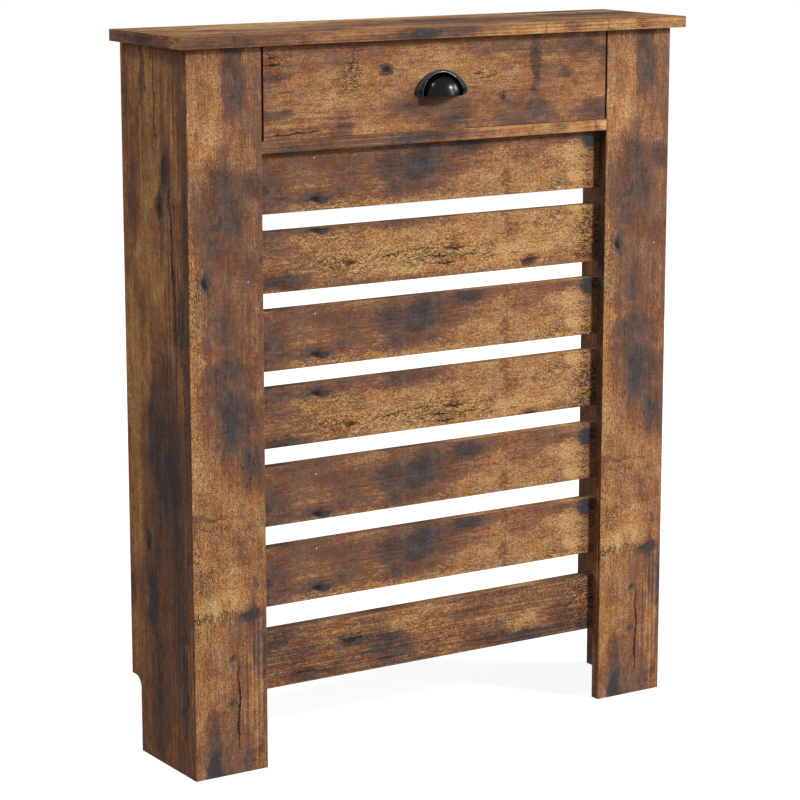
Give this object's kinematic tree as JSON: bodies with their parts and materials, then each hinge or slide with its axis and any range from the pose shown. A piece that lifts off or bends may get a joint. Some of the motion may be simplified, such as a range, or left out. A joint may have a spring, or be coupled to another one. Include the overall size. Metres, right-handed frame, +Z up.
{
  "type": "radiator cover cabinet",
  "caption": "Slatted radiator cover with a wide shallow drawer under its top, on side panels with skirting-board notches and broad front stiles.",
  "frame": {"origin": "on the floor, at the middle of the width and of the depth from the cup pull to the back edge", "axes": "+Z up, the front with the drawer and slats faces -Y, +X to the right as seen from the front"},
  "size_m": [0.78, 0.2, 0.955],
  "materials": {
    "rustic_board": "rustic brown wood-grain melamine, satin",
    "drawer_board": "plain brown melamine, satin",
    "hardboard": "brown faced hardboard, matt",
    "beech": "bare beech, fluted",
    "black_metal": "glossy black paint",
    "zinc_steel": "zinc plated",
    "zinc_screw": "zinc plated",
    "cast_zinc": "die cast, dull",
    "ball_steel": "polished steel",
    "cage_plastic": "black moulded plastic"
  },
  "bodies": {
    "cabinet": {"top_board": "rustic_board", "left_front_stile": "rustic_board", "right_front_stile": "rustic_board", "left_side_panel": "rustic_board", "right_side_panel": "rustic_board", "drawer_shelf": "rustic_board", "compartment_back": "rustic_board", "left_runner_panel": "rustic_board", "right_runner_panel": "rustic_board", "slat_1": "rustic_board", "slat_2": "rustic_board", "slat_3": "rustic_board", "slat_4": "rustic_board", "slat_5": "rustic_board", "slat_6": "rustic_board", "slat_7": "rustic_board", "left_cabinet_runner": "zinc_steel", "right_cabinet_runner": "zinc_steel", "left_wall_bracket": "zinc_steel", "right_wall_bracket": "zinc_steel", "slat_screws": "zinc_screw", "runner_panel_screws": "zinc_screw", "cabinet_runner_screws": "zinc_screw", "wall_bracket_screws": "zinc_screw", "cam_bolts": "zinc_screw", "cam_nuts": "cast_zinc", "dowels": "beech"},
    "drawer": {"drawer_front": "rustic_board", "drawer_left_side": "drawer_board", "drawer_right_side": "drawer_board", "drawer_back": "drawer_board", "drawer_bottom": "hardboard", "cup_pull": "black_metal", "cup_pull_screws": "black_metal", "left_drawer_runner": "zinc_steel", "right_drawer_runner": "zinc_steel", "drawer_runner_screws": "zinc_screw", "drawer_back_screws": "zinc_screw", "drawer_cam_bolts": "zinc_screw", "drawer_cam_nuts": "cast_zinc"},
    "left_ball_cage": {"left_ball_cage": "cage_plastic", "left_runner_balls": "ball_steel"},
    "right_ball_cage": {"right_ball_cage": "cage_plastic", "right_runner_balls": "ball_steel"}
  },
  "joints": [
    {"name": "drawer_slide", "type": "slide", "parent": "cabinet", "child": "drawer", "axis": [0, -1, 0], "range_m": [0, 0.08]},
    {"name": "left_cage_slide", "type": "slide", "parent": "cabinet", "child": "left_ball_cage", "axis": [0, -1, 0], "range_m": [0, 0.04]},
    {"name": "right_cage_slide", "type": "slide", "parent": "cabinet", "child": "right_ball_cage", "axis": [0, -1, 0], "range_m": [0, 0.04]}
  ],
  "couplings": [
    {"joint": "left_cage_slide", "follows": "drawer_slide", "ratio": 0.5},
    {"joint": "right_cage_slide", "follows": "drawer_slide", "ratio": 0.5}
  ]
}
